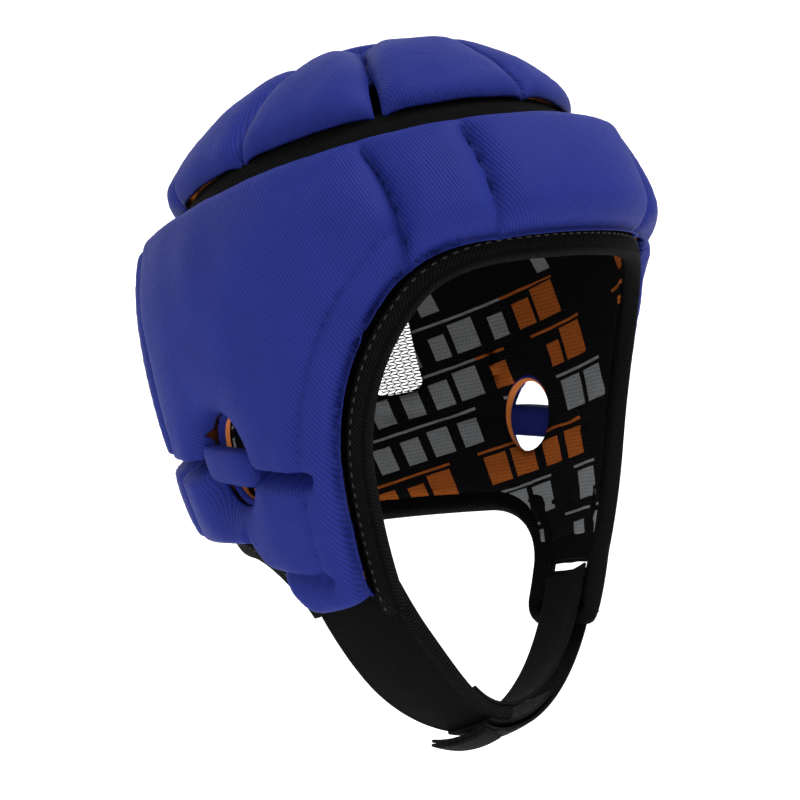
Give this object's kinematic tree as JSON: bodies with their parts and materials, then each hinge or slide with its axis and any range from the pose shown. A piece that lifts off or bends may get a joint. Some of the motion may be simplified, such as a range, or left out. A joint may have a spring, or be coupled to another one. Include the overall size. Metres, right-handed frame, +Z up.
{
  "type": "padded soft-shell headgear",
  "caption": "Quilted foam headgear with a slitted crown, twill-bound face opening, bridged ear holes, mesh lining and a hook-and-loop chin strap.",
  "frame": {"origin": "centre of the head space at the headgear's widest level, in the wearer's middle plane", "axes": "+Z up through the crown; the face looks along -Y; the wearer's left is +X"},
  "size_m": [0.2016, 0.2256, 0.2882],
  "materials": {
    "knit": "satin ribbed stretch knit",
    "foam": "closed-cell foam",
    "lining": "fine mesh with printed blocks",
    "vent_mesh": "open mesh",
    "twill": "diagonal twill tape",
    "patch": "matt woven",
    "velour": "loop velour",
    "webbing": "woven webbing",
    "hook": "hook tape"
  },
  "bodies": {
    "shell": {"crown_lining": "lining", "band_lining": "lining", "rear_vent_mesh_right": "vent_mesh", "rear_vent_mesh_left": "vent_mesh", "crown_cover": "knit", "band_cover": "knit", "rear_cover": "knit", "ear_bridge_right": "knit", "ear_bridge_left": "knit", "ear_rim_right": "knit", "ear_rim_left": "knit", "crown_top_pad": "foam", "crown_pad_front_left": "foam", "crown_pad_front_right": "foam", "crown_pad_side_front_left": "foam", "crown_pad_side_front_right": "foam", "crown_pad_side_rear_left": "foam", "crown_pad_side_rear_right": "foam", "crown_pad_rear_left": "foam", "crown_pad_rear_right": "foam", "forehead_pad": "foam", "rear_center_pad": "foam", "nape_center_pad": "foam", "brow_pad_right": "foam", "brow_pad_left": "foam", "side_pad_right": "foam", "side_pad_left": "foam", "cheek_pad_right": "foam", "cheek_pad_left": "foam", "jaw_pad_right": "foam", "jaw_pad_left": "foam", "rear_side_pad_right": "foam", "rear_side_pad_left": "foam", "nape_side_pad_right": "foam", "nape_side_pad_left": "foam", "crown_gap_tape": "twill", "face_binding": "twill", "nape_binding": "twill", "flap_patch_inner": "patch", "flap_patch_outer": "patch", "strap_fold": "webbing"},
    "chin_strap": {"chin_piece": "velour", "chin_lining": "lining", "chin_binding_front": "twill", "chin_binding_rear": "twill", "strap_webbing": "webbing"},
    "strap_tail": {"strap_tail": "webbing", "tail_tab": "webbing", "hook_patch": "hook"}
  },
  "joints": [
    {"name": "chin_strap_swing", "type": "hinge", "parent": "shell", "child": "chin_strap", "pos_m": [-0.0638, -0.012, -0.1226], "axis": [0, 1, 0], "range_deg": [0, 80], "deforming": ["strap_fold"]},
    {"name": "strap_tail_peel", "type": "hinge", "parent": "chin_strap", "child": "strap_tail", "pos_m": [0.0624, -0.013, -0.1327], "axis": [0, -1, 0], "range_deg": [0, 110]}
  ]
}
